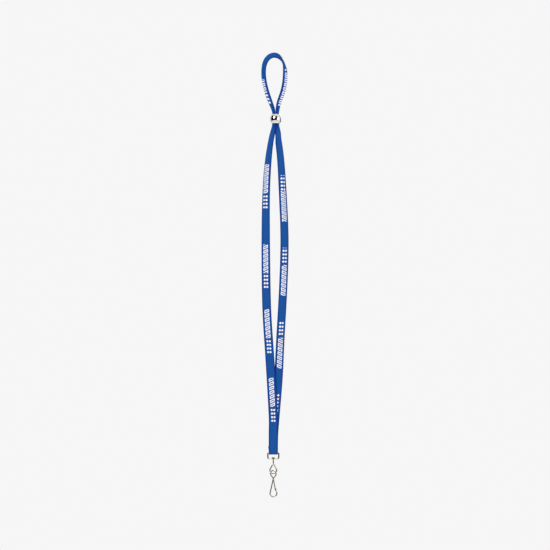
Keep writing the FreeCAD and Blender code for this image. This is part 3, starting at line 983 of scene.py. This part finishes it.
class LANYARD_OT_hook(bpy.types.Operator):
    """Bend the snap hook: catch, bow, spine, neck and eye in one wire"""

    bl_idname = "lanyard.hook"
    bl_label = "Snap hook"

    def execute(self, context):
        nickel = plated_metal("satin_nickel_hook", context.scene.lanyard_colours.nickel, 0.20, 0.15)
        down = gate_line()
        aside = gate_aside()
        end = gate_end()
        lip = end + aside * CATCH_AWAY - down * CATCH_TOP
        root = end + aside * CATCH_AWAY + down * CATCH_ROOT
        lean = math.degrees(math.atan2(down.x, -down.z))
        lean_angle = math.radians(lean)
        bow_z = crossing(1).z - BOW_DROP
        bow_x = root.x + (root.z - bow_z) * math.tan(lean_angle) - BOW_RADIUS / math.cos(lean_angle)
        bow = Vector((bow_x, 0, bow_z))
        front = crossing(-1)
        to_front = front - bow
        spine_lean = math.degrees(math.asin(BOW_RADIUS / to_front.length) + math.atan2(to_front.x, to_front.z))
        bow_corners = arc_corners(bow, SIDEWAYS, BOW_RADIUS, lean, -180 - spine_lean, 3)
        turn = math.radians(HOOK_EYE_TURN)
        outward = Vector((math.cos(turn), -math.sin(turn), 0))
        eye = Vector((HARDWARE_X, 0, EYE_Z - HOOK_EYE_DROP))
        eye_start = -math.degrees(math.asin(HOOK_EYE_RADIUS / NECK_DROP))
        eye_corners = arc_corners(eye, outward, HOOK_EYE_RADIUS, eye_start, 180 - eye_start, 4)
        seam = crossing(1) + down * GATE_SEAM
        corners = [lip, *bow_corners, front, *eye_corners, crossing(1), seam]
        radii = [ARC_SHARE * BOW_RADIUS] * len(bow_corners) + [NECK_BEND]
        radii += [ARC_SHARE * HOOK_EYE_RADIUS] * len(eye_corners) + [NECK_BEND]
        wire = Wire("snap_hook_wire", lip, down, WIRE / 2)
        wire.run_to(root, CATCH_RINGS)
        wire.follow(corners, radii)
        piece = wire.finish(nickel)
        self.flatten_catch(piece, end, down, aside)
        settle(piece, "hook", "nickel_steel", "snap_hook")
        return {"FINISHED"}

    def flatten_catch(self, piece, end, down, aside):
        """The wire's end is stamped into a thin shell that cups the gate."""
        across = down.cross(aside).normalized()
        for vertex in piece.data.vertices:
            from_end = vertex.co - end
            along = from_end.dot(down)
            outward = from_end.dot(aside)
            sideways = from_end.dot(across)
            round_wire = math.hypot(outward - CATCH_AWAY, sideways) < WIRE / 2 + NEAR * 10
            if not (-CATCH_TOP - NEAR * 10 <= along < CATCH_ROOT and round_wire):
                continue
            angle = math.atan2(sideways, outward - CATCH_AWAY)
            flat = min(1.0, (CATCH_ROOT - along) / (CATCH_ROOT - CATCH_BOTTOM))
            flat = flat * flat * (3 - 2 * flat)
            from_lip = max(0.0, along + CATCH_TOP) / CATCH_LIP
            narrow = 1.0 if from_lip >= 1 else math.sqrt(max(0.0, 1 - (1 - from_lip) ** 2)) * 0.96 + 0.04
            wrap = math.radians(CATCH_WRAP) * narrow
            if abs(angle) <= math.pi / 2:
                shell = CATCH_OUTSIDE
                wrapped = angle / (math.pi / 2) * wrap
            else:
                shell = CATCH_INSIDE
                wrapped = math.copysign((math.pi - abs(angle)) / (math.pi / 2), angle) * wrap
            middle = (CATCH_INSIDE + CATCH_OUTSIDE) / 2
            shell = middle + (shell - middle) * (0.4 + 0.6 * narrow)
            cupped = end + down * along + aside * (shell * math.cos(wrapped)) + across * (shell * math.sin(wrapped))
            vertex.co = vertex.co.lerp(cupped, flat)


class LANYARD_OT_gate(bpy.types.Operator):
    """Draw the gate: the hook wire's springy end, which flexes just below the neck"""

    bl_idname = "lanyard.gate"
    bl_label = "Gate"

    def execute(self, context):
        nickel = plated_metal("satin_nickel_gate", context.scene.lanyard_colours.nickel, 0.20, 0.15)
        down = gate_line()
        seam = crossing(1) + down * GATE_SEAM
        hinge = crossing(1) + down * GATE_HINGE_DROP
        wire = Wire("gate_wire", seam, down, WIRE / 2)
        wire.run_to(hinge + down * GATE_BEND, 16)
        wire.run_to(gate_end() - down * (WIRE / 2), 4)
        wire.round_off(down)
        piece = wire.finish(nickel)
        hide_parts("gate")
        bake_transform(piece)
        return {"FINISHED"}


STITCH_LENGTH = 0.0013
STITCH_DIAMETER = 0.00038
STITCH_COUNT = 5
STITCH_SPREAD = 0.0072
STITCH_ROWS = (-0.4204, -0.4236)
STITCH_PROUD = 0.00008    # how far the thread's middle stands off the strap
STITCH_SINK = 0.00035     # how deep its ends go in
SEAM_FACE = 0.001375      # from the middle layer out to the strap's face


class LANYARD_OT_stitches(bpy.types.Operator):
    """Sew the strap's end: rows of stitches, in front and behind"""

    bl_idname = "lanyard.stitches"
    bl_label = "Stitches"

    def execute(self, context):
        thread = sewing_thread(context.scene.lanyard_colours.thread)
        half = STITCH_LENGTH / 2
        inside = DEPTH * STITCH_SINK
        corners = [
            inside - SIDEWAYS * half,
            -DEPTH * STITCH_PROUD - SIDEWAYS * half * 0.8,
            -DEPTH * STITCH_PROUD + SIDEWAYS * half * 0.8,
            inside + SIDEWAYS * half,
        ]
        wire = Wire("stitch", corners[0], (corners[1] - corners[0]).normalized(), STITCH_DIAMETER / 2, 10)
        wire.follow(corners, [STITCH_DIAMETER * 0.6] * 2)
        pattern = wire.finish(thread, 60)
        copies = []
        for row in STITCH_ROWS:
            for index in range(STITCH_COUNT):
                aside = HARDWARE_X + STITCH_SPREAD * (index / (STITCH_COUNT - 1) - 0.5)
                for towards in (-1, 1):
                    copy = bpy.data.objects.new("stitch", pattern.data.copy())
                    context.scene.collection.objects.link(copy)
                    turn = Quaternion(UP, 0.0 if towards < 0 else math.pi)
                    for vertex in copy.data.vertices:
                        vertex.co = turn @ vertex.co + Vector((aside, towards * SEAM_FACE, row))
                    copies.append(copy)
        bpy.data.objects.remove(pattern)
        bpy.ops.object.select_all(action="DESELECT")
        for copy in copies:
            copy.select_set(True)
        context.view_layer.objects.active = copies[0]
        bpy.ops.object.join()
        piece = context.view_layer.objects.active
        piece.name = "seam_thread"
        settle(piece, "strap", "thread", "seam_stitches")
        return {"FINISHED"}


# ---------------------------------------------------------------- stage

FLOOR_DROP = 0.17         # lowest point of the lanyard down to the floor
FLOOR_RADIUS = 0.55
LENS = 100.0              # millimetres, on a sensor 36 mm wide
SENSOR = 36.0
VIEW_SHARE = 0.8087       # share of the view's height that the lanyard takes up
CAMERA_ASIDE = 0.0001
# The dark walls of the room, between two heights (sines of elevation), and its windows:
# (towards, half-angle in degrees)
DARK_LOW = -0.42
DARK_HIGH = 0.78
DARK_SOFT = 0.06
DARK_WALLS = [
    ((-0.55, -0.80, 0.0), 78),
    ((0.55, -0.84, 0.0), 38),
    ((0.35, 0.90, 0.0), 50),
]
WINDOWS = [
    ((-0.16, -0.86, 0.50), 12),
    ((0.05, 0.90, 0.45), 14),
]


class LANYARD_OT_stage(bpy.types.Operator):
    """Set the pale floor and backdrop, the soft lamps and the camera"""

    bl_idname = "lanyard.stage"
    bl_label = "Stage"

    def execute(self, context):
        low, high = CAD_BOX
        middle = (low + high) / 2
        scene = context.scene
        scene.view_settings.view_transform = "Standard"
        self.camera(scene, middle, high.z - low.z)
        self.floor(low.z - FLOOR_DROP)
        self.lamp("key", middle + Vector((-0.7, -1.0, 0.7)), middle, 0.7, 11.0)
        self.lamp("fill", middle + Vector((0.9, -0.8, 0.2)), middle, 0.8, 5.0)
        self.lamp("back", middle + Vector((0.2, 1.1, 0.6)), middle, 0.8, 7.0)
        self.surroundings(scene)
        return {"FINISHED"}

    def camera(self, scene, middle, height):
        data = bpy.data.cameras.new("camera")
        data.lens = LENS
        data.sensor_width = SENSOR
        camera = bpy.data.objects.new("camera", data)
        scene.collection.objects.link(camera)
        distance = height / VIEW_SHARE * LENS / SENSOR
        camera.location = (middle.x + CAMERA_ASIDE, -distance, middle.z)
        camera.rotation_euler = (math.pi / 2, 0, 0)
        scene.camera = camera

    def lamp(self, name, place, target, size, power):
        data = bpy.data.lights.new(name, "AREA")
        data.shape = "DISK"
        data.size = size
        data.energy = power
        lamp = bpy.data.objects.new(name, data)
        lamp.location = place
        lamp.rotation_euler = (target - place).to_track_quat("-Z", "Y").to_euler()
        bpy.context.scene.collection.objects.link(lamp)

    def floor(self, height):
        bpy.ops.object.select_all(action="DESELECT")
        bpy.ops.mesh.primitive_circle_add(
            vertices=96, radius=FLOOR_RADIUS, fill_type="NGON", location=(0, 0, height)
        )
        floor = bpy.context.object
        floor.name = "floor"
        bpy.ops.object.transform_apply(location=True)
        material = new_material("matt_paper")
        tree = material.node_tree
        objects = add_node(tree, "ShaderNodeTexCoord")
        place = add_node(tree, "ShaderNodeSeparateXYZ", {0: objects.outputs["Object"]})
        flat = add_node(tree, "ShaderNodeCombineXYZ", {0: place.outputs[0], 1: place.outputs[1]})
        away = add_node(tree, "ShaderNodeVectorMath", {0: flat.outputs[0]}, operation="LENGTH").outputs["Value"]
        fade = add_node(
            tree,
            "ShaderNodeMapRange",
            {"Value": away, "From Min": FLOOR_RADIUS * 0.3, "From Max": FLOOR_RADIUS * 0.98},
            interpolation_type="SMOOTHSTEP",
        ).outputs[0]
        paper = add_node(tree, "ShaderNodeBsdfDiffuse", {"Color": linear(BACKGROUND)})
        clear = add_node(tree, "ShaderNodeBsdfTransparent")
        mixed = add_node(tree, "ShaderNodeMixShader", {0: fade, 1: paper.outputs[0], 2: clear.outputs[0]})
        add_node(tree, "ShaderNodeOutputMaterial", {"Surface": mixed.outputs[0]})
        floor.data.materials.append(material)

    def ramp(self, tree, value, low, high):
        """Rises smoothly from 0 at low to 1 at high."""
        inputs = {"Value": value, "From Min": low, "From Max": high}
        return add_node(tree, "ShaderNodeMapRange", inputs, interpolation_type="SMOOTHSTEP").outputs[0]

    def patch(self, tree, direction, aim, reach, soft):
        """1 within an angle of aim, in degrees, and 0 outside it."""
        inputs = {0: direction, 1: Vector(aim).normalized()}
        towards = add_node(tree, "ShaderNodeVectorMath", inputs, operation="DOT_PRODUCT").outputs["Value"]
        return self.ramp(
            tree, towards, math.cos(math.radians(reach)), math.cos(math.radians(reach - soft))
        )

    def surroundings(self, scene):
        """A pale backdrop, with the dark corners of a room for bright metal to mirror."""
        world = bpy.data.worlds.new("studio")
        scene.world = world
        world.use_nodes = True
        tree = world.node_tree
        tree.nodes.clear()
        rays = add_node(tree, "ShaderNodeLightPath")
        direction = add_node(tree, "ShaderNodeTexCoord").outputs["Generated"]
        height = add_node(tree, "ShaderNodeSeparateXYZ", {0: direction}).outputs[2]
        above = self.ramp(tree, height, DARK_LOW - DARK_SOFT, DARK_LOW + DARK_SOFT)
        below = self.ramp(tree, height, DARK_HIGH + DARK_SOFT, DARK_HIGH - DARK_SOFT)
        band = maths(tree, "MULTIPLY", above, below)
        dark = 0.0
        for aim, reach in DARK_WALLS:
            dark = maths(tree, "MAXIMUM", dark, self.patch(tree, direction, aim, reach, 8))
        dark = maths(tree, "MULTIPLY", dark, band)
        for aim, reach in WINDOWS:
            window = self.patch(tree, direction, aim, reach, 4)
            dark = maths(tree, "MULTIPLY", dark, maths(tree, "SUBTRACT", 1.0, window))
        pale = linear(BACKGROUND)
        mirrored = mix_colour(tree, dark, pale, linear("#0A0908"))
        seen = add_node(tree, "ShaderNodeBackground", {"Color": pale, "Strength": 1.0})
        reflected = add_node(tree, "ShaderNodeBackground", {"Color": mirrored, "Strength": 1.0})
        lit = add_node(tree, "ShaderNodeBackground", {"Color": (1.0, 1.0, 1.0, 1.0), "Strength": 0.55})
        shiny = maths(tree, "MAXIMUM", rays.outputs["Is Glossy Ray"], rays.outputs["Is Transmission Ray"])
        mixed = add_node(tree, "ShaderNodeMixShader", {0: shiny, 1: lit.outputs[0], 2: reflected.outputs[0]})
        whole = add_node(
            tree, "ShaderNodeMixShader", {0: rays.outputs["Is Camera Ray"], 1: mixed.outputs[0], 2: seen.outputs[0]}
        )
        add_node(tree, "ShaderNodeOutputWorld", {"Surface": whole.outputs[0]})


class LANYARD_PT_sidebar(bpy.types.Panel):
    """Lists the lanyard's sizes, colours and pieces"""

    bl_idname = "LANYARD_PT_sidebar"
    bl_label = "Lanyard"
    bl_space_type = "VIEW_3D"
    bl_region_type = "UI"
    bl_category = "Lanyard"

    def draw(self, context):
        layout = self.layout
        for group in (context.scene.lanyard_sizes, context.scene.lanyard_colours):
            for name in group.bl_rna.properties.keys():
                if name not in ("rna_type", "name"):
                    layout.prop(group, name)
        for operator in OPERATORS:
            layout.operator(operator.bl_idname)


OPERATORS = (
    LANYARD_OT_stage,
    LANYARD_OT_strap,
    LANYARD_OT_stitches,
    LANYARD_OT_bead,
    LANYARD_OT_bracket,
    LANYARD_OT_swivel,
    LANYARD_OT_hook,
    LANYARD_OT_gate,
)
CLASSES = (LanyardSizes, LanyardColours, *OPERATORS, LANYARD_PT_sidebar)


def register():
    for item in CLASSES:
        bpy.utils.register_class(item)
    bpy.types.Scene.lanyard_sizes = bpy.props.PointerProperty(type=LanyardSizes)
    bpy.types.Scene.lanyard_colours = bpy.props.PointerProperty(type=LanyardColours)


def unregister():
    del bpy.types.Scene.lanyard_colours
    del bpy.types.Scene.lanyard_sizes
    for item in reversed(CLASSES):
        bpy.utils.unregister_class(item)


def main():
    register()
    bpy.ops.lanyard.stage()
    bpy.ops.lanyard.strap()
    bpy.ops.lanyard.stitches()
    bpy.ops.lanyard.bead()
    bpy.ops.lanyard.bracket()
    bpy.ops.lanyard.swivel()
    bpy.ops.lanyard.hook()
    bpy.ops.lanyard.gate()


if __name__ == "__main__":
    main()
